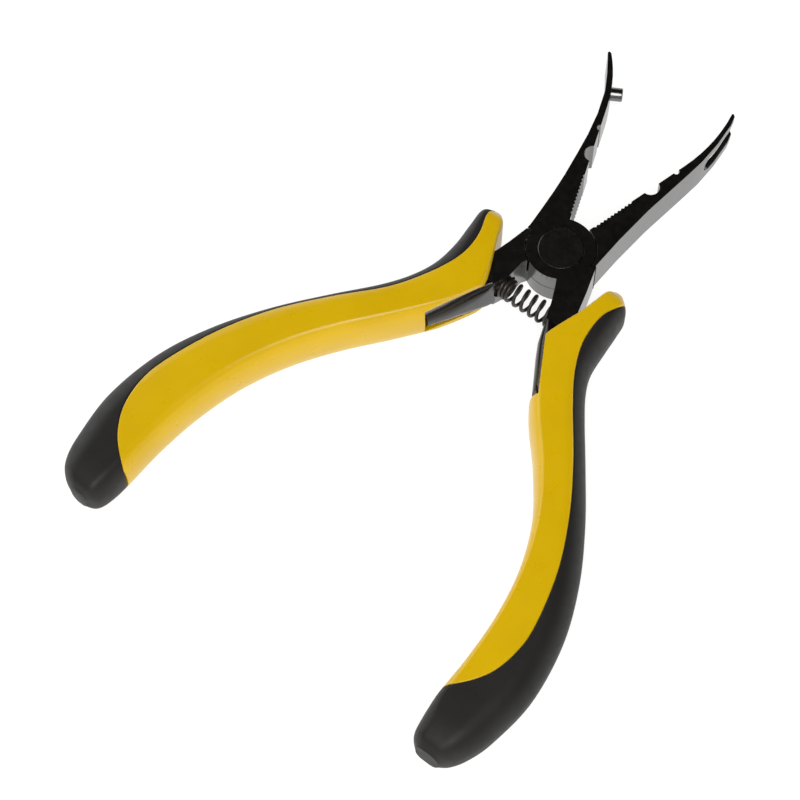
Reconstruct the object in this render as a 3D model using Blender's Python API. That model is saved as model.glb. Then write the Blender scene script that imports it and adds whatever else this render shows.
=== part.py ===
"""Curved-nose pliers with a forked jaw, a pegged jaw and a return spring, lying open on a flat surface.

The pivot is the Z axis, the jaws point along +Y, and Z = 0 is the underside of the pivot.
All sizes below are millimetres and degrees. The fork lever has the right jaw and the left handle,
and the peg lever, which turns, has the left jaw and the right handle.
"""

import bmesh
import bpy
import numpy as np
from mathutils import Vector

MM = 0.001

# Joint
THICKNESS = 9.4
BOSS_R = 7.8
SEAT_CLEARANCE = 0.3
LAP_GAP = 0.2
SHANK_R = 3.5
SHANK_CLEARANCE = 0.06
HEAD_R = 5.15
HEAD_DEPTH = 1.2
HEAD_CLEARANCE = 0.12
SHOULDER_STAND = 1.3
SHOULDER_ANGLE = 2.5
SHOULDER_CLEARANCE = 0.35

# Jaws, given in the closed pose, where both inner faces lie along +Y and the noses bend to the left
FORK_OPEN = -15.0
PEG_OPEN = 20.4
JAW_GAP = 0.2
JAW_CLEARANCE = 0.1
FORK_BEND_START = 35.5
FORK_BEND_R = 40.0
FORK_END = 53.2
PEG_BEND_START = 39.5
PEG_BEND_R = 36.0
PEG_END = 53.7
FORK_WIDTHS = (
    (3.4, 8.0), (11.8, 6.0), (21.6, 4.1), (27.6, 3.3), (34.6, 2.3), (39.5, 1.75), (45.4, 1.3), (51.0, 1.2),
)
PEG_WIDTHS = (
    (3.9, 8.1), (7.1, 7.2), (13.9, 5.4), (18.8, 4.3), (24.8, 3.2), (30.7, 2.2), (36.8, 1.6), (43.3, 1.4),
    (48.0, 1.4), (52.0, 1.1),
)
TOOTH_START = 9.2
TOOTH_PITCH = 1.0
TOOTH_DEPTH = 0.35
TOOTH_COUNT = 11
GRIP_NOTCH_Y = 26.0
GRIP_NOTCH_R = 2.1
GRIP_NOTCH_DEPTH = 1.7
LINE_NOTCH_Y = 33.2
LINE_NOTCH_R = 0.75

# Fork slot and ejector peg
SLOT_HEIGHT = 4.9
SLOT_START = 41.0
PEG_R = 1.58
PEG_REACH = 2.7
PEG_Y = 45.9
PEG_CLEARANCE = 0.1

# Tangs at rest, with X positive on either side: the square part's edges from the boss down, then
# (inner x, inner y, outer x, outer y, half height, inner round) where the tang thins and rounds off
FORK_TANG_OUTER = ((10.1, -5.5), (11.1, -9.5), (13.1, -15.8))
FORK_TANG_INNER = ((6.3, -16.2), (4.9, -12.5), (4.7, -8.0))
FORK_TANG_SECTIONS = (
    (6.0, -15.2, 12.5, -14.6, 4.6, 0.3),
    (6.6, -17.8, 13.8, -17.6, 4.6, 1.5),
    (7.7, -20.6, 14.9, -20.6, 4.5, 2.5),
    (9.1, -23.6, 16.2, -23.4, 4.2, 3.0),
    (10.8, -27.0, 18.0, -26.4, 3.6, 3.2),
    (13.2, -31.0, 20.0, -29.6, 3.0, 3.1),
)
PEG_TANG_OUTER = ((11.0, -5.5), (12.4, -10.5), (14.1, -15.8))
PEG_TANG_INNER = ((7.9, -16.2), (6.1, -11.7), (4.4, -8.0))
PEG_TANG_SECTIONS = (
    (7.6, -15.2, 13.5, -14.6, 4.6, 0.3),
    (8.1, -17.6, 14.7, -17.6, 4.6, 1.5),
    (9.2, -20.9, 15.7, -20.6, 4.5, 2.5),
    (10.9, -24.0, 16.9, -23.6, 4.2, 3.0),
    (13.0, -27.4, 18.6, -26.8, 3.6, 3.2),
    (15.2, -31.0, 20.4, -29.6, 3.0, 3.1),
)
TAIL_LINE = ((17.2, -28.0), (21.9, -33.4), (29.8, -43.1), (36.4, -53.8), (41.5, -65.6), (43.6, -73.5))
TAIL_WIDTH = 5.4
TAIL_THICKNESS = 5.0
TANG_CLEARANCE = 0.25

# Return spring along X between the tangs
SPRING_Y = -13.2
SPRING_R = 2.65
WIRE_R = 0.42
SPRING_START = -6.3
SPRING_END = 8.1
DENSE_TURNS = 2.5
OPEN_TURNS = 5.3
POCKET_CLEARANCE = 0.35
STUD_R = 1.6
STUD_LENGTH = 4.6
STUD_STAND = 1.1
STUD_CLEARANCE = 0.1

# Grips: (inner x, inner y, outer x, outer y, half height, squareness) at stations from horn to end
LEFT_STATIONS = (
    (15.9, -0.4, 18.8, -0.6, 3.4, 2.6),
    (14.1, -2.5, 20.5, -2.8, 5.7, 4.0),
    (12.6, -6.2, 20.4, -7.2, 6.2, 6.0),
    (10.9, -10.0, 20.1, -12.6, 6.3, 6.0),
    (6.7, -19.0, 20.8, -18.8, 6.3, 6.0),
    (9.8, -26.1, 23.1, -24.7, 6.3, 5.0),
    (17.4, -36.8, 27.2, -30.9, 6.3, 3.4),
    (25.0, -46.6, 34.3, -39.5, 6.3, 2.8),
    (31.4, -56.6, 42.3, -49.8, 6.3, 2.8),
    (36.1, -67.3, 49.4, -61.3, 6.3, 2.8),
    (38.9, -78.6, 54.5, -73.7, 6.3, 2.8),
    (40.2, -89.5, 56.6, -87.5, 6.3, 2.8),
    (40.5, -99.6, 55.4, -99.2, 6.3, 2.8),
    (40.9, -105.0, 53.8, -105.0, 6.0, 2.8),
    (41.9, -108.2, 51.4, -108.0, 5.0, 2.6),
    (44.2, -109.7, 48.4, -109.6, 3.0, 2.4),
)
RIGHT_STATIONS = (
    (15.2, -0.9, 17.9, -0.9, 3.4, 2.6),
    (14.3, -2.9, 20.4, -3.6, 5.7, 4.0),
    (13.6, -6.5, 21.1, -7.6, 6.2, 6.0),
    (12.8, -10.2, 21.6, -12.6, 6.3, 6.0),
    (9.7, -20.8, 22.5, -19.2, 6.3, 6.0),
    (12.2, -26.4, 24.8, -24.4, 6.3, 5.0),
    (18.2, -36.3, 28.6, -30.0, 6.3, 3.4),
    (26.3, -45.6, 35.2, -38.8, 6.3, 2.8),
    (33.3, -55.4, 42.9, -49.5, 6.3, 2.8),
    (38.2, -66.4, 49.8, -61.1, 6.3, 2.8),
    (40.8, -78.0, 54.8, -73.6, 6.3, 2.8),
    (41.6, -89.4, 57.1, -87.4, 6.3, 2.8),
    (41.4, -99.5, 56.0, -99.2, 6.3, 2.8),
    (41.9, -105.2, 54.3, -105.0, 6.0, 2.8),
    (42.7, -108.4, 52.4, -108.3, 5.0, 2.6),
    (44.6, -110.3, 50.2, -110.3, 3.0, 2.4),
)
# The straight edge that the grip's two plates keep beside the slot, from the front corner to the slot's end
LEFT_MOUTH = ((7.2, -18.0), (13.3, -31.8))
RIGHT_MOUTH = ((10.1, -19.5), (17.7, -32.6))
GRIP_ROWS = 34
GRIP_SIDES = 24
LEFT_SPLIT = (
    (18.0, -3.2), (16.3, -8.4), (15.9, -13.4), (17.0, -18.4), (19.9, -24.6), (24.4, -31.8), (32.6, -40.8),
    (40.5, -51.0), (46.5, -62.6), (50.7, -75.0), (51.7, -82.0), (50.4, -89.5), (46.4, -96.0),
    (39.5, -101.5),
)
RIGHT_SPLIT = (
    (19.4, -3.6), (17.6, -8.4), (17.5, -13.5), (18.6, -18.6), (21.4, -24.5), (25.9, -31.1), (33.0, -40.7),
    (39.8, -51.4), (45.4, -63.1), (48.9, -75.5), (49.4, -83.0), (47.7, -90.2), (43.2, -96.4), (38.2, -99.4),
)
SPLIT_GAP = 0.3
COVER_WALL = 2.0
RIB_START = 0.2
RIB_END = 0.94
RIB_GAP = 0.3

SEAT_R = BOSS_R + SEAT_CLEARANCE
SHOULDER_R = BOSS_R + SHOULDER_STAND
JAW_START = BOSS_R + JAW_CLEARANCE
MID = THICKNESS / 2
LAP_LOW = MID - LAP_GAP / 2
LAP_HIGH = MID + LAP_GAP / 2
FAR = 30.0
FRONT = 2.0
ROUNDEST = 3.2
SQUARE_HALF = 4.4
CHANNEL_REACH = 10.0


def clear_scene():
    for item in list(bpy.data.objects):
        bpy.data.objects.remove(item, do_unlink=True)


def rotated(points, degrees):
    angle = np.radians(degrees)
    points = np.asarray(points, float)
    turn = np.array([[np.cos(angle), np.sin(angle)], [-np.sin(angle), np.cos(angle)]])
    return points @ turn


def smooth_curve(keys, count):
    """Points on a Catmull-Rom curve through the keys, evenly spaced in the keys' own numbering."""
    keys = np.asarray(keys, float)
    padded = np.vstack([2 * keys[0] - keys[1], keys, 2 * keys[-1] - keys[-2]])
    place = np.linspace(0, len(keys) - 1, count)
    left = np.minimum(place.astype(int), len(keys) - 2)
    t = (place - left)[:, None]
    a, b, c, d = (padded[left + k] for k in range(4))
    return 0.5 * (2 * b + (c - a) * t + (2 * a - 5 * b + 4 * c - d) * t**2 + (3 * b - a - 3 * c + d) * t**3)


def offset_line(points, distance):
    """The open line moved sideways, to the left of its direction."""
    points = np.asarray(points, float)
    along = np.gradient(points, axis=0)
    along /= np.linalg.norm(along, axis=1)[:, None]
    return points + distance * np.column_stack([-along[:, 1], along[:, 0]])


def arc(centre, radius, start, end, steps):
    angles = np.radians(np.linspace(start, end, steps + 1))
    return np.column_stack([centre[0] + radius * np.cos(angles), centre[1] + radius * np.sin(angles)])


def ray(radius, degrees):
    angle = np.radians(degrees)
    return np.array([radius * np.cos(angle), radius * np.sin(angle)])


def object_from(name, vertices, faces, helper=False):
    mesh = bpy.data.meshes.new(name)
    mesh.from_pydata([Vector(v) * MM for v in np.asarray(vertices, float)], [], [list(f) for f in faces])
    body = bmesh.new()
    body.from_mesh(mesh)
    bmesh.ops.recalc_face_normals(body, faces=body.faces)
    body.to_mesh(mesh)
    body.free()
    item = bpy.data.objects.new(name, mesh)
    bpy.context.scene.collection.objects.link(item)
    if helper:
        item.hide_render = True
        item.display_type = "WIRE"
    return item


def rings_to_solid(name, rings, helper=False):
    """Closes a stack of equal rings, given as an array of rows, points and XYZ, with a face at each end."""
    rows, sides, _ = rings.shape
    faces = [tuple(range(sides)), tuple(range((rows - 1) * sides, rows * sides))]
    for row in range(rows - 1):
        for side in range(sides):
            after = (side + 1) % sides
            low = row * sides
            high = low + sides
            faces.append((low + side, low + after, high + after, high + side))
    return object_from(name, rings.reshape(-1, 3), faces, helper)


def prism(name, outline, low, high, helper=False):
    outline = np.asarray(outline, float)
    rings = np.stack([np.column_stack([outline, np.full(len(outline), z)]) for z in (low, high)])
    return rings_to_solid(name, rings, helper)


def round_bar(name, start, end, radius, sides=48, helper=True):
    """A cylinder between two points."""
    start, end = Vector(start), Vector(end)
    turn = (end - start).to_track_quat("Z", "Y").to_matrix()
    rings = []
    for centre in (start, end):
        angles = 2 * np.pi * np.arange(sides) / sides
        rings.append([centre + turn @ Vector((radius * np.cos(a), radius * np.sin(a), 0)) for a in angles])
    return rings_to_solid(name, np.array(rings, float), helper)


def combine(item, other, operation):
    modifier = item.modifiers.new(operation.lower() + "_" + other.name, "BOOLEAN")
    modifier.object = other
    modifier.operation = operation


def paint(item, colour, roughness, metallic):
    material = bpy.data.materials.new(item.name)
    material.use_nodes = True
    shader = material.node_tree.nodes["Principled BSDF"]
    shader.inputs["Base Color"].default_value = (*colour, 1)
    shader.inputs["Roughness"].default_value = roughness
    shader.inputs["Metallic"].default_value = metallic
    item.data.materials.append(material)


def black_oxide(item):
    paint(item, (0.012, 0.010, 0.008), 0.4, 1.0)


def yellow_plastic(item):
    paint(item, (0.72, 0.43, 0.002), 0.35, 0.0)


def black_rubber(item):
    paint(item, (0.022, 0.020, 0.017), 0.6, 0.0)


# Jaws


def nose_shift(y, bend_start, bend_r):
    """How far a nose that bends along an arc has moved to the left at height y."""
    past = np.maximum(np.asarray(y, float) - bend_start, 0)
    return bend_r - np.sqrt(bend_r**2 - past**2)


def tooth_points():
    points = [(0.0, TOOTH_START)]
    for tooth in range(TOOTH_COUNT):
        base = TOOTH_START + tooth * TOOTH_PITCH
        points.append((TOOTH_DEPTH, base + TOOTH_PITCH / 2))
        points.append((0.0, base + TOOTH_PITCH))
    return points


def notch_points(y, radius, depth, steps):
    """A round notch in the inner face: an arc whose centre stands off the face."""
    stand = radius - depth
    half = np.degrees(np.arccos(stand / radius))
    return arc((-stand, y), radius, -half, half, steps)


def jaw_outline(widths, bend_start, end):
    """The closed-pose outline of a jaw to the right of the parting line, with the face moved off it."""
    face = JAW_GAP / 2
    nose_y = np.linspace(bend_start, end, 8)
    inner = np.vstack([
        [(0.0, JAW_START)],
        tooth_points(),
        notch_points(GRIP_NOTCH_Y, GRIP_NOTCH_R, GRIP_NOTCH_DEPTH, 8),
        notch_points(LINE_NOTCH_Y, LINE_NOTCH_R, LINE_NOTCH_R, 5),
        np.column_stack([np.zeros(len(nose_y)), nose_y]),
    ])
    outer = np.asarray(widths[::-1], float)[:, ::-1]
    tip_width = outer[0, 0]
    tip = [(0.35 * tip_width, end + 0.35), (0.8 * tip_width, end)]
    edge = np.vstack([inner, tip, outer])
    edge[:, 0] += face
    return edge


def bent(outline, bend_start, bend_r):
    """Moves the outline to the left by the nose's bend."""
    outline = outline.copy()
    outline[:, 0] -= nose_shift(outline[:, 1], bend_start, bend_r)
    return outline


def fork_jaw():
    outline = jaw_outline(FORK_WIDTHS, FORK_BEND_START, FORK_END)
    at_rest = rotated(bent(outline, FORK_BEND_START, FORK_BEND_R), FORK_OPEN)
    shoulder = ray(SHOULDER_R, SHOULDER_ANGLE) + (0, SHOULDER_CLEARANCE)
    at_rest = np.vstack([at_rest, [shoulder], [(0.0, SHOULDER_CLEARANCE)]])
    return prism("fork_jaw", at_rest, 0, THICKNESS, helper=True)


def peg_jaw():
    outline = jaw_outline(PEG_WIDTHS, PEG_BEND_START, PEG_END)
    outline[:, 0] *= -1
    at_rest = rotated(bent(outline, PEG_BEND_START, PEG_BEND_R), PEG_OPEN)
    shoulder = ray(SHOULDER_R, 180 + SHOULDER_ANGLE) + (0, SHOULDER_CLEARANCE)
    at_rest = np.vstack([at_rest, [shoulder], [(0.0, SHOULDER_CLEARANCE)]])
    return prism("peg_jaw", at_rest, 0, THICKNESS, helper=True)


def fork_slot():
    """The slot for the ball: a rounded-end box through the nose, seen from the side."""
    half = SLOT_HEIGHT / 2
    end = arc((SLOT_START + half, MID), half, 90, 270, 12)
    profile = np.vstack([end, [(FORK_END + 5, MID - half), (FORK_END + 5, MID + half)]])
    rings = []
    for x in (-10.0, 10.0):
        flat = rotated(np.column_stack([np.full(len(profile), x), profile[:, 0]]), FORK_OPEN)
        rings.append(np.column_stack([flat, profile[:, 1]]))
    return rings_to_solid("fork_slot", np.stack(rings), helper=True)


# Tangs


def tang_outline(outer, inner, side):
    shoulder = ray(SHOULDER_R, 180 + SHOULDER_ANGLE if side < 0 else SHOULDER_ANGLE)
    corner = ray(BOSS_R, 180 + SHOULDER_ANGLE if side < 0 else SHOULDER_ANGLE)
    rest = np.vstack([outer, inner]) * (side, 1)
    return np.vstack([[(0.0, 0.0)], [corner], [shoulder], rest])


def tail_outline(width, clearance=0.0):
    line = smooth_curve(TAIL_LINE, 12)
    half = width / 2 + clearance
    left = offset_line(line, half)
    right = offset_line(line, -half)
    end = line[-1] + (line[-1] - line[-2]) / np.linalg.norm(line[-1] - line[-2]) * (half * 0.6)
    return np.vstack([left, [end], right[::-1]])


def tang_section_rings(sections, side, steps=7):
    """Sections of the thinning tang: square on the outer side, both inner corners quarter ovals."""
    rings = []
    turn = np.linspace(0, np.pi / 2, steps)
    for inner_x, inner_y, outer_x, outer_y, half, round_off in sections:
        inner, outer = np.array([inner_x, inner_y]), np.array([outer_x, outer_y])
        across = (outer - inner) / np.linalg.norm(outer - inner)
        rise = 0.85 * half * round_off / ROUNDEST
        corner = inner + round_off * (1 - np.sin(turn))[:, None] * across
        height = half - rise * (1 - np.cos(turn))
        plan = np.vstack([outer, corner, corner[::-1], outer])
        up = np.concatenate([[half], height, -height[::-1], [-half]])
        rings.append(np.column_stack([plan * (side, 1), MID + up]))
    return np.array(rings)


def tang(name, outer, inner, sections, side):
    item = prism(name, tang_outline(outer, inner, side), 0, THICKNESS, helper=True)
    rounded = rings_to_solid(name + "_rounded", tang_section_rings(sections, side), helper=True)
    low, high = MID - TAIL_THICKNESS / 2, MID + TAIL_THICKNESS / 2
    tail = prism(name + "_tail", tail_outline(TAIL_WIDTH) * (side, 1), low, high, helper=True)
    return item, rounded, tail


# Levers


def lever(name, jaw, tang_parts, boss_low, boss_high, seat_low, seat_high, head_low, head_high):
    """A jaw and a tang joined by half a boss, with a round seat cut for the other lever's boss."""
    item = round_bar(name, (0, 0, boss_low), (0, 0, boss_high), BOSS_R, 72, helper=False)
    seat = round_bar(name + "_seat", (0, 0, seat_low), (0, 0, seat_high), SEAT_R, 72)
    hole = round_bar(name + "_hole", (0, 0, -1), (0, 0, THICKNESS + 1), SHANK_R + SHANK_CLEARANCE, 64)
    recess = round_bar(name + "_recess", (0, 0, head_low), (0, 0, head_high), HEAD_R + HEAD_CLEARANCE, 64)
    for solid in (jaw, *tang_parts):
        combine(item, solid, "UNION")
    for cutter in (seat, hole, recess):
        combine(item, cutter, "DIFFERENCE")
    black_oxide(item)
    return item


def spring_pocket(name, start, end):
    return round_bar(name, (start, SPRING_Y, MID), (end, SPRING_Y, MID), SPRING_R + POCKET_CLEARANCE, 32)


def stud_hole(name, start, end):
    return round_bar(name, (start, SPRING_Y, MID), (end, SPRING_Y, MID), STUD_R + STUD_CLEARANCE, 24)


def fork_lever():
    parts = tang("fork_tang", FORK_TANG_OUTER, FORK_TANG_INNER, FORK_TANG_SECTIONS, -1)
    recess_high = HEAD_DEPTH + HEAD_CLEARANCE
    item = lever("fork_lever", fork_jaw(), parts, 0, LAP_LOW, LAP_LOW, THICKNESS + 1, -1, recess_high)
    combine(item, fork_slot(), "DIFFERENCE")
    seat = SPRING_START - POCKET_CLEARANCE
    combine(item, spring_pocket("fork_pocket", seat, 0), "DIFFERENCE")
    combine(item, stud_hole("fork_stud_hole", seat - STUD_LENGTH, 0), "DIFFERENCE")
    return item


def peg_place():
    """The peg's centre on the jaw's inner face and its direction, both at rest."""
    lean = np.degrees(np.arcsin((PEG_Y - PEG_BEND_START) / PEG_BEND_R))
    shift = nose_shift(PEG_Y, PEG_BEND_START, PEG_BEND_R)
    face = rotated([(-shift - JAW_GAP / 2, PEG_Y)], PEG_OPEN)[0]
    return face, ray(1.0, PEG_OPEN + lean)


def peg_bar(name, radius, back, reach, helper=True):
    face, out = peg_place()
    start = face - back * out
    end = face + reach * out
    return round_bar(name, (*start, MID), (*end, MID), radius, 32, helper)


def peg_lever():
    parts = tang("peg_tang", PEG_TANG_OUTER, PEG_TANG_INNER, PEG_TANG_SECTIONS, 1)
    recess_low = THICKNESS - HEAD_DEPTH - HEAD_CLEARANCE
    item = lever("peg_lever", peg_jaw(), parts, LAP_HIGH, THICKNESS, -1, LAP_HIGH, recess_low, THICKNESS + 1)
    combine(item, peg_bar("peg_hole", PEG_R + PEG_CLEARANCE, 4, 1), "DIFFERENCE")
    seat = SPRING_END + POCKET_CLEARANCE
    combine(item, spring_pocket("peg_pocket", 0, seat), "DIFFERENCE")
    combine(item, stud_hole("peg_stud_hole", 0, seat + STUD_LENGTH), "DIFFERENCE")
    return item


def ejector_peg():
    thickness_here = np.interp(PEG_Y, *np.asarray(PEG_WIDTHS).T)
    item = peg_bar("ejector_peg", PEG_R, thickness_here - PEG_CLEARANCE, PEG_REACH, helper=False)
    black_oxide(item)
    return item


def pivot_rivet():
    """A turned profile: two flush heads on one shank."""
    profile = (
        (0.0, 0.0), (HEAD_R, 0.0), (HEAD_R, HEAD_DEPTH), (SHANK_R, HEAD_DEPTH),
        (SHANK_R, THICKNESS - HEAD_DEPTH), (HEAD_R, THICKNESS - HEAD_DEPTH),
        (HEAD_R, THICKNESS), (0.0, THICKNESS),
    )
    angles = 2 * np.pi * np.arange(64) / 64
    rings = [[(r * np.cos(a), r * np.sin(a), z) for a in angles] for r, z in profile[1:-1]]
    item = rings_to_solid("pivot_rivet", np.array(rings))
    black_oxide(item)
    return item


# Spring and its studs


def return_spring():
    """A wire helix along X: tight turns at the fork side, then open turns."""
    turns = np.linspace(0, DENSE_TURNS + OPEN_TURNS, int((DENSE_TURNS + OPEN_TURNS) * 18))
    tight = 2 * WIRE_R + 0.08
    start = SPRING_START + WIRE_R
    dense_end = start + DENSE_TURNS * tight
    pitch = (SPRING_END - WIRE_R - dense_end) / OPEN_TURNS
    x = np.where(turns < DENSE_TURNS, start + turns * tight, dense_end + (turns - DENSE_TURNS) * pitch)
    radius = SPRING_R - WIRE_R
    angle = 2 * np.pi * turns
    curve = bpy.data.curves.new("return_spring", "CURVE")
    curve.dimensions = "3D"
    curve.bevel_depth = WIRE_R * MM
    curve.bevel_resolution = 1
    curve.use_fill_caps = True
    spline = curve.splines.new("POLY")
    spline.points.add(len(x) - 1)
    for point, place, turn in zip(spline.points, x, angle):
        y, z = SPRING_Y + radius * np.cos(turn), MID + radius * np.sin(turn)
        point.co = (place * MM, y * MM, z * MM, 1)
    item = bpy.data.objects.new("return_spring", curve)
    bpy.context.scene.collection.objects.link(item)
    paint(item, (0.02, 0.018, 0.015), 0.35, 1.0)
    return item


def spring_stud(name, seat, side):
    """A plain pin pressed into the tang, standing into the end of the spring."""
    start = (seat + side * (STUD_LENGTH - STUD_CLEARANCE), SPRING_Y, MID)
    tip = (seat - side * STUD_STAND, SPRING_Y, MID)
    item = round_bar(name, start, tip, STUD_R, 24, helper=False)
    paint(item, (0.05, 0.05, 0.05), 0.35, 1.0)
    return item


# Grips


def grip_rings(stations, side, inset=0.0, start=0.0, end=1.0):
    """Squared-off ovals spanned between the inner and outer edges, along the handle."""
    keys = smooth_curve(stations, GRIP_ROWS)
    share = np.linspace(0, 1, GRIP_ROWS)
    keys = keys[(share >= start) & (share <= end)]
    inner, outer = keys[:, 0:2], keys[:, 2:4]
    half = (outer - inner) / 2
    width = np.linalg.norm(half, axis=1)[:, None]
    half = half * (1 - inset / width)
    height = keys[:, 4:5] - inset
    power = 2 / keys[:, 5:6]
    angles = 2 * np.pi * (np.arange(GRIP_SIDES) + 0.5) / GRIP_SIDES
    across = np.sign(np.cos(angles)) * np.abs(np.cos(angles)) ** power
    up = np.sign(np.sin(angles)) * np.abs(np.sin(angles)) ** power
    plan = ((inner + outer) / 2)[:, None] + across[..., None] * half[:, None]
    return np.dstack([plan[..., 0] * side, plan[..., 1], MID + up * height])


def grip_form(name, stations, side, helper=False):
    return rings_to_solid(name, grip_rings(stations, side), helper)


def cover_side(name, split, side, offset):
    """Everything outside the split line, as a tall prism."""
    line = offset_line(smooth_curve(split, 30), offset)
    line = np.vstack([[line[0] + (0.6, FAR)], line, [line[-1] - (FAR, 0)]])
    box = [(line[-1][0], -140.0), (80.0, -140.0), (80.0, line[0][1])]
    return prism(name, np.vstack([line, box]) * (side, 1), -FAR, FAR, helper=True)


def grip_rib(name, stations, side, inset):
    return rings_to_solid(name, grip_rings(stations, side, inset, RIB_START, RIB_END), helper=True)


def channel_ring(inner, outer, half, side):
    """A box section from well outside the grip's inner side to the tang's outer side."""
    across = (outer - inner) / np.linalg.norm(outer - inner)
    plan = np.array([inner - CHANNEL_REACH * across, outer + TANG_CLEARANCE * across])
    half += TANG_CLEARANCE
    corners = [(*plan[0], half), (*plan[1], half), (*plan[1], -half), (*plan[0], -half)]
    return np.array(corners) * (side, 1, 1) + (0, 0, MID)


def tang_channel(name, outer, sections, side):
    """The room for the tang: open towards the other handle as far as the slot's end."""
    square = [np.array([outer[0][0], FRONT])] + [np.array(point) for point in outer[:-1]]
    rings = [channel_ring(point - (1, 0), point, MID, side) for point in square]
    for inner_x, inner_y, outer_x, outer_y, half, _ in sections:
        inner, edge = np.array([inner_x, inner_y]), np.array([outer_x, outer_y])
        if half > SQUARE_HALF:
            half = MID
        rings.append(channel_ring(inner, edge, half, side))
    along = np.array(sections[-1][2:4]) - np.array(sections[-2][2:4])
    end = along / np.linalg.norm(along) * 2 * TANG_CLEARANCE
    rings.append(rings[-1] + (end[0] * side, end[1], 0))
    channel = rings_to_solid(name, np.array(rings), helper=True)
    tail_half = TAIL_THICKNESS / 2 + TANG_CLEARANCE
    tail = tail_outline(TAIL_WIDTH, TANG_CLEARANCE) * (side, 1)
    return channel, prism(name + "_tail", tail, MID - tail_half, MID + tail_half, helper=True)


def grip_mouth(name, mouth, side):
    """What is cut off both plates beside the slot, past their straight edge."""
    corner, end = np.asarray(mouth, float)
    along = (end - corner) / np.linalg.norm(end - corner)
    inward = np.array([along[1], -along[0]])
    front = corner - 3 * along
    outline = np.array([front, end, end + CHANNEL_REACH * inward, front + CHANNEL_REACH * inward])
    return prism(name, outline * (side, 1), -FAR, FAR, helper=True)


def grip(prefix, stations, tang_outer, tang_sections, mouth, split, side):
    core = grip_form(prefix + "_grip_core", stations, side)
    combine(core, cover_side(prefix + "_core_trim", split, side, -SPLIT_GAP / 2), "DIFFERENCE")
    combine(core, grip_rib(prefix + "_core_rib", stations, side, COVER_WALL + RIB_GAP), "UNION")
    combine(core, grip_mouth(prefix + "_mouth", mouth, side), "DIFFERENCE")
    for cutter in tang_channel(prefix + "_channel", tang_outer, tang_sections, side):
        combine(core, cutter, "DIFFERENCE")
    yellow_plastic(core)
    cover = grip_form(prefix + "_grip_cover", stations, side)
    combine(cover, cover_side(prefix + "_cover_trim", split, side, SPLIT_GAP / 2), "INTERSECT")
    combine(cover, grip_rib(prefix + "_cover_room", stations, side, COVER_WALL), "DIFFERENCE")
    black_rubber(cover)


def main():
    clear_scene()
    fork_lever()
    peg_lever()
    ejector_peg()
    pivot_rivet()
    return_spring()
    spring_stud("fork_spring_stud", SPRING_START - POCKET_CLEARANCE, -1)
    spring_stud("peg_spring_stud", SPRING_END + POCKET_CLEARANCE, 1)
    grip("left", LEFT_STATIONS, FORK_TANG_OUTER, FORK_TANG_SECTIONS, LEFT_MOUTH, LEFT_SPLIT, -1)
    grip("right", RIGHT_STATIONS, PEG_TANG_OUTER, PEG_TANG_SECTIONS, RIGHT_MOUTH, RIGHT_SPLIT, 1)


main()
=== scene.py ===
"""Looks for a pair of curved-nose spring pliers.

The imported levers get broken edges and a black-oxide finish. The grips, spring, rivet, peg and studs are made
afresh at full smoothness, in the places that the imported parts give.
"""

import math

import bmesh
import bpy
import numpy as np
from mathutils import Matrix, Vector


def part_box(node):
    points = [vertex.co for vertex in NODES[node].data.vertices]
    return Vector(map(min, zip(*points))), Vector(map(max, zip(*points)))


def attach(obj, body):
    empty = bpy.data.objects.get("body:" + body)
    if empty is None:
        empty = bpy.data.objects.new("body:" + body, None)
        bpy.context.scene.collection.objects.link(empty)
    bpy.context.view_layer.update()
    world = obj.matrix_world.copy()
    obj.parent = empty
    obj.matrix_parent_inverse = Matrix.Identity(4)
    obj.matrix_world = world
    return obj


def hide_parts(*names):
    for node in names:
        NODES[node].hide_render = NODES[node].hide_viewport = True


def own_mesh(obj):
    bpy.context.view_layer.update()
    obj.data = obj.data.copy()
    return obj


MM = 0.001

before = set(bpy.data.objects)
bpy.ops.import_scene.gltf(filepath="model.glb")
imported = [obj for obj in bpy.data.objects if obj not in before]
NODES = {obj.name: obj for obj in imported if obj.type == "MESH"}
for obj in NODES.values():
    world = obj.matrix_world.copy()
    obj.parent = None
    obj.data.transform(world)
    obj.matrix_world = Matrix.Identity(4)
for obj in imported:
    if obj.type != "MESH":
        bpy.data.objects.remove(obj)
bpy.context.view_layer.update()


def node_box(name):
    low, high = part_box(name)
    return np.array(low) / MM, np.array(high) / MM


RIVET_LOW, RIVET_HIGH = node_box("pivot_rivet")
SPRING_LOW, SPRING_HIGH = node_box("return_spring")
GRIP_LOW, GRIP_HIGH = node_box("left_grip_core")
THICKNESS = RIVET_HIGH[2] - RIVET_LOW[2]
MID = THICKNESS / 2
GRIP_HALF = (GRIP_HIGH[2] - GRIP_LOW[2]) / 2
GRIP_REACH = {-1: -node_box("left_grip_cover")[0][0], 1: node_box("right_grip_cover")[1][0]}

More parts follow.
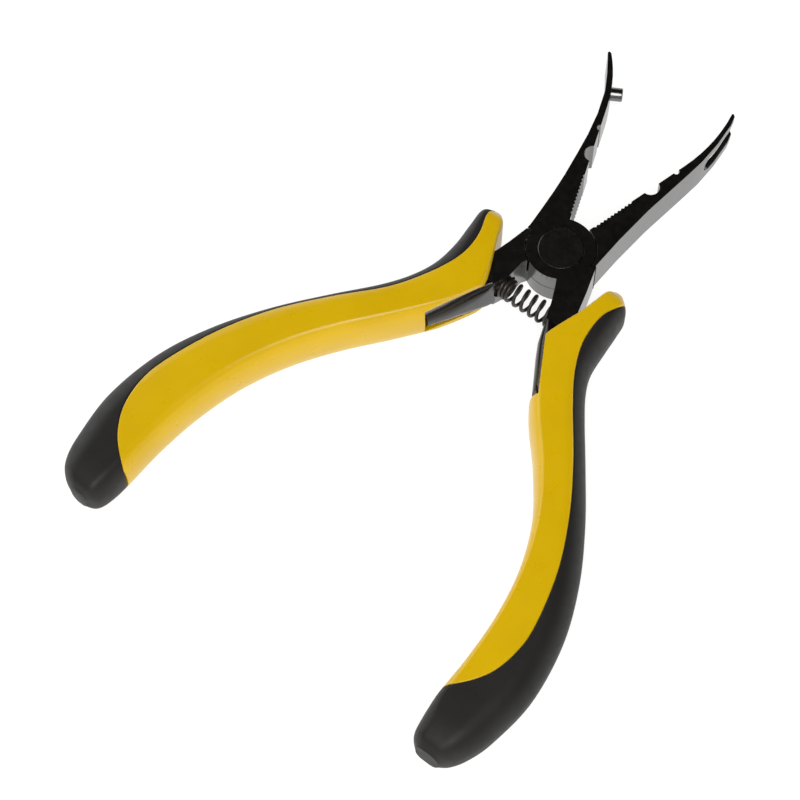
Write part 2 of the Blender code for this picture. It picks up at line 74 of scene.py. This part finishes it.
# Grips: (inner x, inner y, outer x, outer y, half height, inner round, outer round)
LEFT_STATIONS = (
    (15.9, -0.4, 18.8, -0.6, 3.4, 0.7, 1.0),
    (14.1, -2.5, 20.5, -2.8, 5.7, 0.8, 2.0),
    (12.6, -6.2, 20.4, -7.2, 6.2, 0.8, 2.8),
    (10.9, -10.0, 20.1, -12.6, 6.3, 0.8, 3.6),
    (6.7, -19.0, 20.8, -18.8, 6.3, 2.4, 4.4),
    (9.8, -26.1, 23.1, -24.7, 6.3, 2.4, 4.8),
    (17.4, -36.8, 27.2, -30.9, 6.3, 2.4, 4.8),
    (25.0, -46.6, 34.3, -39.5, 6.3, 2.6, 4.8),
    (31.4, -56.6, 42.3, -49.8, 6.3, 2.8, 5.2),
    (36.1, -67.3, 49.4, -61.3, 6.3, 3.0, 5.6),
    (38.9, -78.6, 54.5, -73.7, 6.3, 3.2, 5.8),
    (40.2, -89.5, 56.6, -87.5, 6.3, 3.2, 5.8),
    (40.5, -99.6, 55.4, -99.2, 6.3, 3.2, 5.6),
    (40.9, -105.0, 53.8, -105.0, 6.0, 3.2, 4.8),
    (41.9, -108.2, 51.4, -108.0, 5.0, 2.6, 3.4),
    (44.2, -109.7, 48.4, -109.6, 3.0, 1.6, 2.0),
)
RIGHT_STATIONS = (
    (15.2, -0.9, 17.9, -0.9, 3.4, 0.7, 1.0),
    (14.3, -2.9, 20.4, -3.6, 5.7, 0.8, 2.0),
    (13.6, -6.5, 21.1, -7.6, 6.2, 0.8, 2.8),
    (12.8, -10.2, 21.6, -12.6, 6.3, 0.8, 3.6),
    (9.7, -20.8, 22.5, -19.2, 6.3, 1.2, 4.4),
    (12.2, -26.4, 24.8, -24.4, 6.3, 1.8, 4.8),
    (18.2, -36.3, 28.6, -30.0, 6.3, 2.4, 4.8),
    (26.3, -45.6, 35.2, -38.8, 6.3, 2.2, 4.8),
    (33.3, -55.4, 42.9, -49.5, 6.3, 1.7, 5.2),
    (38.2, -66.4, 49.8, -61.1, 6.3, 1.3, 5.6),
    (40.8, -78.0, 54.8, -73.6, 6.3, 1.2, 5.8),
    (41.6, -89.4, 57.1, -87.4, 6.3, 1.4, 5.8),
    (41.4, -99.5, 56.0, -99.2, 6.3, 2.0, 5.6),
    (41.9, -105.2, 54.3, -105.0, 6.0, 3.2, 4.8),
    (42.7, -108.4, 52.4, -108.3, 5.0, 2.6, 3.4),
    (44.6, -110.3, 50.2, -110.3, 3.0, 1.6, 2.0),
)
LEFT_SPLIT = (
    (17.6, -0.1), (18.0, -3.2), (16.3, -8.4), (15.9, -13.4), (17.0, -18.4), (19.9, -24.6), (24.4, -31.8),
    (32.6, -40.8), (40.5, -51.0), (46.5, -62.6), (50.7, -75.0), (51.7, -82.0), (50.4, -89.5), (46.4, -96.0),
    (39.5, -101.5), (34.0, -104.0),
)
RIGHT_SPLIT = (
    (18.9, -0.5), (19.4, -3.6), (17.6, -8.4), (17.5, -13.5), (18.6, -18.6), (21.4, -24.5), (25.9, -31.1),
    (33.0, -40.7), (39.8, -51.4), (45.4, -63.1), (48.9, -75.5), (49.4, -83.0), (47.7, -90.2), (43.2, -96.4),
    (38.2, -99.4), (33.0, -101.0),
)
GRIP_ROWS = 240
ROWS_EVEN = 0.65
ROWS_TO_ENDS = 0.35
NARROWEST_ROW = 0.25
SPLIT_SAMPLES = 400
TOP_SAMPLES = 48
WALL_SAMPLES = 5
GROOVE_R = 0.3
SPLIT_GAP = -0.02
CAMBER = 0.25
FULL_ROUND = 2.4
ROUND_SHARE = 0.9

# The room for the tangs, a little taller than they are: the outer edge of the square part, and then
# (inner x, inner y, outer x, outer y, half height)
FORK_TANG_OUTER = ((10.1, -5.5), (11.1, -9.5))
FORK_TANG_SECTIONS = (
    (6.0, -15.2, 12.5, -14.6, 4.7),
    (7.7, -20.6, 14.9, -20.6, 4.7),
    (10.8, -27.0, 18.0, -26.4, 4.5),
    (13.3, -31.2, 20.0, -29.8, 4.2),
)
PEG_TANG_OUTER = ((11.0, -5.5), (12.4, -10.5))
PEG_TANG_SECTIONS = (
    (7.6, -15.2, 13.5, -14.6, 4.7),
    (9.2, -20.9, 15.7, -20.6, 4.7),
    (13.0, -27.4, 18.6, -26.8, 4.5),
    (15.3, -31.2, 20.4, -29.8, 4.2),
)
LEFT_MOUTH = ((7.7, -18.0), (14.1, -31.3))
RIGHT_MOUTH = ((10.1, -19.5), (17.7, -32.6))
SLOT_CLEARANCE = 0.15
SLOT_REACH = 10.0
SLOT_FRONT = 2.0
MOUTH_LEAD = 3.0
MOUTH_HEIGHTS = (-20.0, 30.0)

# Steel parts
# Lever faces past this y take the duller oxide, which is partly painted shade of the tangs in the grip slots
FORGED_AND_PAINTED_SHADE_FROM = -16.0
LEVER_EDGE = 0.14
FLAT_DEGREES = 0.6
EDGE_DEGREES = 28
RIVET_HEAD = 1.2
RIVET_SHANK_R = 3.5
PEG_ROUNDS = (0.1, 0.3)
STUD_ROUNDS = (0.1, 0.6)
POLE_R = 0.01

# Return spring
WIRE_R = 0.42
DENSE_TURNS = 2.5
OPEN_TURNS = 5.3
CLOSED_GAP = 0.08
PITCH_EASE = 0.12
TURN_SAMPLES = 56
WIRE_SIDES = 16

# Camera
EYE = (143.9, -243.6, 486.4)
AIM = (-5.07, -51.5, 9.4)
LENS = 112.5


# Mesh helpers


def object_of(name, vertices, faces):
    mesh = bpy.data.meshes.new(name)
    mesh.from_pydata((np.asarray(vertices, float) * MM).tolist(), [], [list(f) for f in faces])
    mesh.validate()
    body = bmesh.new()
    body.from_mesh(mesh)
    bmesh.ops.remove_doubles(body, verts=body.verts, dist=1e-7)
    bmesh.ops.recalc_face_normals(body, faces=body.faces)
    body.to_mesh(mesh)
    body.free()
    item = bpy.data.objects.new(name, mesh)
    bpy.context.scene.collection.objects.link(item)
    return item


def grid_faces(rows, sides):
    """Quads between neighbouring rings of a closed tube, and one face on each end."""
    row, side = np.meshgrid(np.arange(rows - 1), np.arange(sides), indexing="ij")
    after = (side + 1) % sides
    low, high = row * sides, (row + 1) * sides
    quads = np.stack([low + side, low + after, high + after, high + side], -1).reshape(-1, 4).tolist()
    return quads + [list(range(sides)), list(range((rows - 1) * sides, rows * sides))]


def tube_from_rings(name, rings):
    rows, sides, _ = rings.shape
    return object_of(name, rings.reshape(-1, 3), grid_faces(rows, sides))


def smooth_by_angle(item, degrees=35.0):
    mesh = item.data
    mesh.shade_smooth()
    body = bmesh.new()
    body.from_mesh(mesh)
    limit = math.radians(degrees)
    for edge in body.edges:
        edge.smooth = len(edge.link_faces) == 2 and edge.calc_face_angle(0.0) < limit
    body.to_mesh(mesh)
    body.free()


def smooth_curve(keys, places):
    """Catmull-Rom: each stretch is the cubic through its two keys, with slopes from their neighbours."""
    keys = np.asarray(keys, float)
    padded = np.vstack([2 * keys[0] - keys[1], keys, 2 * keys[-1] - keys[-2]])
    place = np.asarray(places) * (len(keys) - 1)
    left = np.minimum(place.astype(int), len(keys) - 2)
    t = (place - left)[:, None]
    a, b, c, d = (padded[left + k] for k in range(4))
    return 0.5 * (2 * b + (c - a) * t + (2 * a - 5 * b + 4 * c - d) * t**2 + (3 * b - a - 3 * c + d) * t**3)


# Grips


def split_share(inner, outer, split):
    """Where each section line from inner to outer meets the split line, as a share: 0 at inner, 1 at outer.

    It solves inner + s (outer - inner) = p + t (q - p) against every stretch p to q of the split line.
    """
    line = smooth_curve(split, np.linspace(0, 1, SPLIT_SAMPLES))
    p, step = line[:-1], np.diff(line, axis=0)
    across = outer - inner
    gap = p[None] - inner[:, None]
    cross = across[:, None, 0] * step[None, :, 1] - across[:, None, 1] * step[None, :, 0]
    s = (gap[..., 0] * step[None, :, 1] - gap[..., 1] * step[None, :, 0]) / cross
    t = (gap[..., 0] * across[:, None, 1] - gap[..., 1] * across[:, None, 0]) / cross
    met = (t >= 0) & (t <= 1)
    return np.where(met.any(1), np.take_along_axis(s, met.argmax(1)[:, None], 1)[:, 0], np.nan)


def section_height(x, half_width, half_height, inner_round, outer_round):
    """Height of a grip's section over x: flat with a slight crown, and a quarter oval at either side.

    An oval as wide as FULL_ROUND or more falls by nearly the whole half height, and a narrower one by its
    share of that.
    """
    height = half_height - CAMBER * (x / half_width) ** 2
    for width, off_edge in ((inner_round, x + half_width), (outer_round, half_width - x)):
        width = np.minimum(width, half_width)
        fall = ROUND_SHARE * half_height * np.minimum(width / FULL_ROUND, 1.0)
        inside = np.clip(1 - off_edge / width, 0, 1)
        height = height - fall * (1 - np.sqrt(1 - inside**2))
    return height


def grip_rings(stations, side, split, outer_part):
    """Rings of the black cover (outer_part) or the yellow core of one grip.

    A row runs across the handle from its inner to its outer edge. Its top and bottom follow section_height
    between the split and one edge, spaced by a cosine so that both corners are dense, and drop in a quarter
    round beside the split, which leaves a fine groove between the two colours.
    """
    t = np.linspace(0, 1, GRIP_ROWS)
    places = ROWS_EVEN * t + ROWS_TO_ENDS * (0.5 - 0.5 * np.cos(np.pi * t))
    keys = smooth_curve(stations, places)
    inner, outer = keys[:, 0:2], keys[:, 2:4]
    width = np.linalg.norm(outer - inner, axis=1)
    share = split_share(inner, outer, split)
    middle = len(share) // 2
    ahead = np.arange(len(share)) < middle
    share = np.where(np.isnan(share), np.where(ahead, 1.0, 0.0), share)
    share = np.clip(share, 0.0, 1.0)
    half = width / 2
    cut = (2 * share - 1) * half
    has_cut = (share > 0.0) & (share < 1.0)
    if outer_part:
        low, high = cut + SPLIT_GAP / 2 * has_cut, half
    else:
        low, high = -half, cut - SPLIT_GAP / 2 * has_cut
    keep = high - low > NARROWEST_ROW
    angle = np.linspace(0, np.pi, TOP_SAMPLES)
    x = ((low + high) / 2)[:, None] + ((high - low) / 2)[:, None] * np.cos(angle)
    height = section_height(x, half[:, None], keys[:, 4:5], keys[:, 5:6], keys[:, 6:7])
    off_cut = np.abs(x - cut[:, None])
    groove = np.clip(GROOVE_R - off_cut, 0, GROOVE_R)
    height -= (GROOVE_R - np.sqrt(GROOVE_R**2 - groove**2)) * has_cut[:, None]
    fall = np.linspace(1, -1, WALL_SAMPLES + 2)[1:-1]
    ring_x = np.hstack([x, x[:, -1:].repeat(WALL_SAMPLES, 1), x[:, ::-1], x[:, :1].repeat(WALL_SAMPLES, 1)])
    ring_z = np.hstack([height, height[:, -1:] * fall, -height[:, ::-1], -height[:, :1] * fall])
    share_x = (ring_x / half[:, None] + 1) / 2
    plan = inner[:, None] + share_x[..., None] * (outer - inner)[:, None]
    reach = GRIP_REACH[side] / outer[:, 0].max()
    plan_x = plan[..., 0] * side * reach
    rise = MID + ring_z * GRIP_HALF / np.max(keys[:, 4])
    return np.dstack([plan_x, plan[..., 1], rise])[keep]


def slot_ring(inner, outer, half, side):
    """A box section from SLOT_REACH outside the tang's inner side to SLOT_CLEARANCE past its outer side."""
    across = (outer - inner) / np.linalg.norm(outer - inner)
    start, end = inner - SLOT_REACH * across, outer + SLOT_CLEARANCE * across
    half += SLOT_CLEARANCE
    corners = np.array([(*start, half), (*end, half), (*end, -half), (*start, -half)])
    return corners * (side, 1, 1) + (0, 0, MID)


def slot_cutter(name, outer_line, sections, side):
    """The room for the tang, open towards the other handle, with each section's own half height."""
    square = [np.array([outer_line[0][0], SLOT_FRONT])] + [np.array(point) for point in outer_line]
    rings = [slot_ring(point - (1, 0), point, MID, side) for point in square]
    for inner_x, inner_y, outer_x, outer_y, half in sections:
        rings.append(slot_ring(np.array([inner_x, inner_y]), np.array([outer_x, outer_y]), half, side))
    return tube_from_rings(name, np.array(rings))


def mouth_cutter(name, mouth, side):
    """What is cut off both plates beside the slot, past their straight edge."""
    corner, end = np.asarray(mouth, float)
    along = (end - corner) / np.linalg.norm(end - corner)
    inward = np.array([along[1], -along[0]])
    front = corner - MOUTH_LEAD * along
    outline = np.array([front, end, end + SLOT_REACH * inward, front + SLOT_REACH * inward]) * (side, 1)
    rings = [np.column_stack([outline, np.full(4, z)]) for z in MOUTH_HEIGHTS]
    return tube_from_rings(name, np.array(rings))


def cut_away(item, cutter):
    modifier = item.modifiers.new("cut", "BOOLEAN")
    modifier.object = cutter
    modifier.operation = "DIFFERENCE"
    graph = bpy.context.evaluated_depsgraph_get()
    mesh = bpy.data.meshes.new_from_object(item.evaluated_get(graph))
    item.modifiers.clear()
    item.data = mesh
    bpy.data.objects.remove(cutter, do_unlink=True)


def make_grip(prefix, body, side, stations, split, tang_outer, tang_sections, mouth):
    core = tube_from_rings(prefix + "_grip_moulding", grip_rings(stations, side, split, False))
    cut_away(core, mouth_cutter(prefix + "_mouth", mouth, side))
    cut_away(core, slot_cutter(prefix + "_slot", tang_outer, tang_sections, side))
    cover = tube_from_rings(prefix + "_grip_overmould", grip_rings(stations, side, split, True))
    for item, node, material, slot in (
        (core, prefix + "_grip_core", YELLOW, "grip_yellow"),
        (cover, prefix + "_grip_cover", BLACK_RUBBER, "grip_black"),
    ):
        smooth_by_angle(item, 40)
        item.data.materials.append(material)
        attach(item, body)
        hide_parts(node)


# Steel parts


def turned(name, profile, start, direction, sides=96):
    """A lathe shape: the profile's (distance along, radius) pairs spun about the direction from start."""
    profile = np.asarray(profile, float)
    turn = np.array(Vector(direction).to_track_quat("Z", "Y").to_matrix())
    angle = 2 * np.pi * np.arange(sides) / sides
    ring = np.stack([np.cos(angle), np.sin(angle)], -1)
    local = np.empty((len(profile), sides, 3))
    local[..., :2] = profile[:, 1, None, None] * ring
    local[..., 2] = profile[:, 0, None]
    return tube_from_rings(name, local @ turn.T + np.asarray(start, float))


def edged(length, radius, round_start, round_end, steps=5):
    """Profile of a plain pin whose two end edges are quarter rounds."""
    a = np.linspace(0, np.pi / 2, steps)
    first = np.column_stack([round_start * (1 - np.cos(a)), radius - round_start * (1 - np.sin(a))])
    last = np.column_stack([length - round_end * (1 - np.cos(a)), radius - round_end * (1 - np.sin(a))])
    return np.vstack([[(0.0, POLE_R)], first, last[::-1], [(length, POLE_R)]])


def broken_edge_copy(name, node, width):
    """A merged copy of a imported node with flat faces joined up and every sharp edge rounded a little."""
    mesh = NODES[node].data.copy()
    body = bmesh.new()
    body.from_mesh(mesh)
    bmesh.ops.remove_doubles(body, verts=body.verts, dist=1e-5)
    bmesh.ops.dissolve_degenerate(body, edges=body.edges, dist=1e-5)
    flat = math.radians(FLAT_DEGREES)
    bmesh.ops.dissolve_limit(body, angle_limit=flat, verts=body.verts, edges=body.edges)
    body.to_mesh(mesh)
    body.free()
    item = bpy.data.objects.new(name, mesh)
    bpy.context.scene.collection.objects.link(item)
    mesh.materials.clear()
    mesh.shade_smooth()
    bevel = item.modifiers.new("broken edges", "BEVEL")
    bevel.width = width * MM
    bevel.segments = 2
    bevel.limit_method = "ANGLE"
    bevel.angle_limit = math.radians(EDGE_DEGREES)
    bevel.use_clamp_overlap = True
    weighted = item.modifiers.new("flat faces", "WEIGHTED_NORMAL")
    weighted.weight = 100
    return item


def make_levers():
    for node, body in (("fork_lever", "fork_side"), ("peg_lever", "peg_side")):
        item = broken_edge_copy(node + "_finished", node, LEVER_EDGE)
        item.data.materials.append(BLACK_OXIDE)
        item.data.materials.append(FORGED_OXIDE_WITH_PAINTED_SHADE)
        # Faces past the tang line take the duller oxide, partly painted shade of the tangs in the grip slots
        for face in item.data.polygons:
            face.material_index = int(face.center.y < FORGED_AND_PAINTED_SHADE_FROM * MM)
        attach(item, body)
        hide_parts(node)


def make_rivet():
    """Two flush heads on a shank, each with a broken rim."""
    head_r = (RIVET_HIGH[0] - RIVET_LOW[0]) / 2
    rim = np.array([(0.0, head_r - 0.24), (0.0, head_r - 0.2), (0.04, head_r - 0.08), (0.2, head_r)])
    shank = np.array([(RIVET_HEAD, head_r), (RIVET_HEAD, RIVET_SHANK_R), (MID, RIVET_SHANK_R)])
    lower = np.vstack([[(0.0, POLE_R)], rim, shank])
    upper = lower[:-1][::-1] * (-1, 1) + (THICKNESS, 0)
    item = turned("pivot_rivet_finished", np.vstack([lower, upper]), (0, 0, 0), (0, 0, 1), 128)
    smooth_by_angle(item, 30)
    item.data.materials.append(RIVET_STEEL)
    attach(item, "fork_side")
    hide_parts("pivot_rivet")


def flat_end_axis(node):
    """The direction of a pin: the normal that its flat ends share, which more area has than any other."""
    areas = {}
    for face in NODES[node].data.polygons:
        key = tuple(round(abs(value), 2) for value in face.normal)
        area, total = areas.get(key, (0.0, Vector()))
        turned_up = face.normal if face.normal.x > 0 else -face.normal
        areas[key] = (area + face.area, total + turned_up * face.area)
    return np.array(max(areas.values(), key=lambda pair: pair[0])[1].normalized())


def make_peg():
    """The ejector peg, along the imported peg's own axis, with a broken edge at its free end."""
    points = np.array([vertex.co for vertex in NODES["ejector_peg"].data.vertices]) / MM
    axis = flat_end_axis("ejector_peg")
    along = points @ axis
    off_axis = points - along[:, None] * axis
    centre = (off_axis.min(0) + off_axis.max(0)) / 2
    centre -= (centre @ axis) * axis
    radius = np.linalg.norm(off_axis - centre, axis=1).max()
    profile = edged(np.ptp(along), radius, *PEG_ROUNDS)
    item = turned("ejector_peg_finished", profile, centre + along.min() * axis, axis, 64)
    smooth_by_angle(item, 35)
    item.data.materials.append(PEG_STEEL)
    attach(item, "peg_side")
    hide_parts("ejector_peg")


def make_studs():
    for node, body, out in (("fork_spring_stud", "fork_side", 1), ("peg_spring_stud", "peg_side", -1)):
        low, high = node_box(node)
        centre = (low + high) / 2
        length, radius = high[0] - low[0], (high[2] - low[2]) / 2
        start = (low[0] if out > 0 else high[0], centre[1], centre[2])
        profile = edged(length, radius, *STUD_ROUNDS)
        item = turned(node + "_finished", profile, start, (out, 0, 0), 64)
        smooth_by_angle(item, 35)
        item.data.materials.append(BRIGHT_STEEL)
        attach(item, body)
        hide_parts(node)


def make_spring():
    """Wire carried along a helix about X: closed turns first, then open turns of even pitch.

    x is the closed pitch times the turns, and past the closed turns it also gains the difference of the two
    pitches times the turns since, eased in with a tanh.
    """
    radius = (SPRING_HIGH[2] - SPRING_LOW[2]) / 2 - WIRE_R
    centre_y = (SPRING_LOW[1] + SPRING_HIGH[1]) / 2
    first, last = SPRING_LOW[0] + WIRE_R, SPRING_HIGH[0] - WIRE_R
    total = DENSE_TURNS + OPEN_TURNS
    turns = np.linspace(0, total, int(total * TURN_SAMPLES))
    tight = 2 * WIRE_R + CLOSED_GAP
    dense_end = first + DENSE_TURNS * tight
    pitch = (last - dense_end) / OPEN_TURNS
    ease = 0.5 * (1 + np.tanh((turns - DENSE_TURNS) / PITCH_EASE))
    x = first + turns * tight + (turns - DENSE_TURNS) * (pitch - tight) * ease
    angle = 2 * np.pi * turns
    path = np.column_stack([x, centre_y + radius * np.cos(angle), MID + radius * np.sin(angle)])
    along = np.gradient(path, axis=0)
    along /= np.linalg.norm(along, axis=1)[:, None]
    out = np.column_stack([np.zeros(len(x)), np.cos(angle), np.sin(angle)])
    side = np.cross(along, out)
    side /= np.linalg.norm(side, axis=1)[:, None]
    out = np.cross(side, along)
    around = 2 * np.pi * np.arange(WIRE_SIDES) / WIRE_SIDES
    outward, sideways = np.cos(around)[None, :, None], np.sin(around)[None, :, None]
    offset = outward * out[:, None] + sideways * side[:, None]
    item = tube_from_rings("return_spring_finished", path[:, None] + WIRE_R * offset)
    smooth_by_angle(item, 40)
    item.data.materials.append(SPRING_STEEL)
    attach(item, "fork_side")
    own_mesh(item)
    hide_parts("return_spring")


# Materials


def linear(colour):
    """An sRGB hex colour as linear red, green, blue and alpha."""
    values = np.array([int(colour[i : i + 2], 16) / 255 for i in (1, 3, 5)])
    values = np.where(values <= 0.04045, values / 12.92, ((values + 0.055) / 1.055) ** 2.4)
    return (*values, 1.0)


def add(tree, kind, settings=None, **links):
    """Adds a node: settings name its attributes or input values, and links join its inputs to outputs."""
    node = tree.nodes.new(kind)
    for name, value in (settings or {}).items():
        if name in node.inputs:
            node.inputs[name].default_value = value
        else:
            setattr(node, name, value)
    for name, source in links.items():
        tree.links.new(source, node.inputs[name.replace("_", " ")])
    return node


def new_material(name):
    material = bpy.data.materials.new(name)
    material.use_nodes = True
    tree = material.node_tree
    tree.nodes.clear()
    shader = tree.nodes.new("ShaderNodeBsdfPrincipled")
    output = tree.nodes.new("ShaderNodeOutputMaterial")
    tree.links.new(shader.outputs["BSDF"], output.inputs["Surface"])
    return material, tree, shader


def noise(tree, size_mm, detail=3.0, roughness=0.5, stretch=None):
    """Noise whose blobs are about size_mm across, in the object's own millimetres."""
    place = add(tree, "ShaderNodeTexCoord").outputs["Object"]
    mapping = add(tree, "ShaderNodeMapping", {"Scale": stretch or (1, 1, 1)}, Vector=place)
    settings = {"Scale": 1 / (size_mm * MM), "Detail": detail, "Roughness": roughness}
    return add(tree, "ShaderNodeTexNoise", settings, Vector=mapping.outputs["Vector"]).outputs["Fac"]


def ramp(tree, source, low, high, first, last):
    """The source's values from low to high spread over two colours."""
    node = add(tree, "ShaderNodeValToRGB", Fac=source)
    node.color_ramp.elements[0].position = low
    node.color_ramp.elements[1].position = high
    node.color_ramp.elements[0].color = first
    node.color_ramp.elements[1].color = last
    return node.outputs["Color"]


def spread(tree, source, low, high):
    """The source's middle values mapped to a range of plain numbers."""
    settings = {"From Min": 0.3, "From Max": 0.7, "To Min": low, "To Max": high}
    return add(tree, "ShaderNodeMapRange", settings, Value=source).outputs["Result"]


def bump(tree, shader, source, depth_mm, strength=1.0):
    node = add(tree, "ShaderNodeBump", {"Strength": strength, "Distance": depth_mm * MM}, Height=source)
    tree.links.new(node.outputs["Normal"], shader.inputs["Normal"])


def black_oxide(name, roughness, grain):
    """Steel blackened in hot salts: near black, brown cast, satin oil film over fine grinding grain."""
    material, tree, shader = new_material(name)
    cloud = noise(tree, 6.0)
    colour = ramp(tree, cloud, 0.35, 0.65, linear("#080503"), linear("#0E0A07"))
    tree.links.new(colour, shader.inputs["Base Color"])
    haze = spread(tree, noise(tree, 1.5), roughness - 0.02, roughness + 0.03)
    tree.links.new(haze, shader.inputs["Roughness"])
    shader.inputs["IOR"].default_value = 2.5
    shader.inputs["Metallic"].default_value = 0.0
    bump(tree, shader, noise(tree, 0.5, 4.0, 0.6, grain), 0.006)
    return material, tree, shader


def forged_oxide_with_painted_shade():
    """The tangs' oxide: the same black with hardly any reflection, partly a forged finish without an oil film
    and partly painted shade of the tangs down in the grip slots.
    """
    material, _, shader = black_oxide("black_oxide_forged_steel_painted_shade", 0.26, (1, 1, 1))
    shader.inputs["Specular IOR Level"].default_value = 0.13
    return material


def spring_wire():
    """Patented spring wire, oil tempered: dark brown and dull, with faint drawing marks."""
    material, tree, shader = new_material("oil_tempered_spring_wire")
    cloud = noise(tree, 2.0)
    colour = ramp(tree, cloud, 0.35, 0.65, linear("#1C1510"), linear("#2A2019"))
    tree.links.new(colour, shader.inputs["Base Color"])
    shader.inputs["Roughness"].default_value = 0.42
    shader.inputs["IOR"].default_value = 1.6
    bump(tree, shader, noise(tree, 0.3), 0.006)
    return material


def yellow_moulding():
    """Polypropylene from a polished mould: warm yellow all through, smooth, with a soft gloss."""
    material, tree, shader = new_material("yellow_polypropylene_gloss")
    cloud = noise(tree, 14.0, 2.0)
    colour = ramp(tree, cloud, 0.3, 0.7, linear("#DDB300"), linear("#E4BA02"))
    tree.links.new(colour, shader.inputs["Base Color"])
    haze = spread(tree, noise(tree, 3.0), 0.27, 0.33)
    tree.links.new(haze, shader.inputs["Roughness"])
    shader.inputs["IOR"].default_value = 1.49
    bump(tree, shader, noise(tree, 1.2, 2.0), 0.004)
    return material


def black_rubber():
    """Thermoplastic rubber from an etched mould: warm black, matt, with a fine leathery grain."""
    material, tree, shader = new_material("black_thermoplastic_rubber")
    cloud = noise(tree, 9.0, 2.0)
    colour = ramp(tree, cloud, 0.3, 0.7, linear("#110F0D"), linear("#171412"))
    tree.links.new(colour, shader.inputs["Base Color"])
    haze = spread(tree, noise(tree, 2.0), 0.52, 0.6)
    tree.links.new(haze, shader.inputs["Roughness"])
    shader.inputs["Specular IOR Level"].default_value = 0.4
    shader.inputs["IOR"].default_value = 1.5
    bump(tree, shader, noise(tree, 0.35, 3.0), 0.012)
    return material


def bright_steel():
    """Turned silver steel: bare, bright, with fine rings from the lathe."""
    material, tree, shader = new_material("turned_bright_steel")
    shader.inputs["Base Color"].default_value = linear("#B9B5AE")
    shader.inputs["Metallic"].default_value = 1.0
    haze = spread(tree, noise(tree, 0.4, 2.0, 0.5, (1, 0.1, 0.1)), 0.22, 0.34)
    tree.links.new(haze, shader.inputs["Roughness"])
    return material


BLACK_OXIDE = black_oxide("black_oxide_ground_steel", 0.22, (1, 0.12, 1))[0]
# The duller tang oxide: partly a forged finish, partly painted shade in the grip slots
FORGED_OXIDE_WITH_PAINTED_SHADE = forged_oxide_with_painted_shade()
RIVET_STEEL = black_oxide("black_oxide_rivet_steel", 0.24, (1, 1, 1))[0]
PEG_STEEL = black_oxide("black_oxide_turned_steel", 0.24, (1, 1, 1))[0]
SPRING_STEEL = spring_wire()
YELLOW = yellow_moulding()
BLACK_RUBBER = black_rubber()
BRIGHT_STEEL = bright_steel()


# Stage


def make_floor():
    """A pale sheet under the grips, lit from beneath like a light table."""
    size, z = 1500.0, GRIP_LOW[2]
    sheet = [(-size, -size, z), (size, -size, z), (size, size, z), (-size, size, z)]
    item = object_of("floor", sheet, [(0, 1, 2, 3)])
    if item.data.polygons[0].normal.z < 0:
        item.data.flip_normals()
    material, _, shader = new_material("white_paper")
    shader.inputs["Base Color"].default_value = linear("#8C8C8A")
    shader.inputs["Roughness"].default_value = 0.8
    shader.inputs["Emission Color"].default_value = linear("#FFFFFF")
    shader.inputs["Emission Strength"].default_value = 0.86
    item.data.materials.append(material)


def make_world():
    """Bright all round the horizon, dark overhead: white walls with a dark ceiling."""
    world = bpy.data.worlds.new("studio")
    world.use_nodes = True
    bpy.context.scene.world = world
    tree = world.node_tree
    tree.nodes.clear()
    place = add(tree, "ShaderNodeTexCoord").outputs["Generated"]
    up = add(tree, "ShaderNodeSeparateXYZ", Vector=place).outputs["Z"]
    shade = add(tree, "ShaderNodeValToRGB", Fac=up)
    shade.color_ramp.interpolation = "EASE"
    shade.color_ramp.elements[0].position = 0.15
    shade.color_ramp.elements[0].color = (1, 1, 1, 1)
    shade.color_ramp.elements[1].position = 0.5
    shade.color_ramp.elements[1].color = (0.005, 0.005, 0.005, 1)
    back = add(tree, "ShaderNodeBackground", {"Strength": 1.05}, Color=shade.outputs["Color"])
    output = add(tree, "ShaderNodeOutputWorld")
    tree.links.new(back.outputs["Background"], output.inputs["Surface"])


def pointed(place, aim):
    """The matrix that stands a light or camera at place and turns it to aim."""
    turn = (Vector(aim) - Vector(place)).to_track_quat("-Z", "Y").to_matrix().to_4x4()
    return Matrix.Translation(Vector(place) * MM) @ turn


def make_light(name, place, aim, size, power):
    data = bpy.data.lights.new(name, "AREA")
    data.shape = "DISK"
    data.size = size * MM
    data.energy = power
    item = bpy.data.objects.new(name, data)
    item.matrix_world = pointed(place, aim)
    bpy.context.scene.collection.objects.link(item)


def make_camera():
    data = bpy.data.cameras.new("camera")
    data.lens = LENS
    data.sensor_width = 36.0
    data.clip_start = 0.01
    data.clip_end = 20.0
    item = bpy.data.objects.new("camera", data)
    item.matrix_world = pointed(EYE, AIM)
    bpy.context.scene.collection.objects.link(item)
    bpy.context.scene.camera = item


def main():
    make_camera()
    make_world()
    make_floor()
    make_light("left_softbox", (-850, 40, 470), (0, -40, 0), 900, 3.2)
    make_light("key_softbox", (260, -430, 850), (0, -40, 0), 700, 7.4)
    make_levers()
    make_rivet()
    make_peg()
    make_studs()
    make_spring()
    make_grip(
        "left", "fork_side", -1, LEFT_STATIONS, LEFT_SPLIT, FORK_TANG_OUTER, FORK_TANG_SECTIONS, LEFT_MOUTH
    )
    make_grip(
        "right", "peg_side", 1, RIGHT_STATIONS, RIGHT_SPLIT, PEG_TANG_OUTER, PEG_TANG_SECTIONS, RIGHT_MOUTH
    )
    bpy.context.scene.view_settings.view_transform = "Standard"


main()


def corners(box):
    return [list(map(float, corner)) for corner in box]
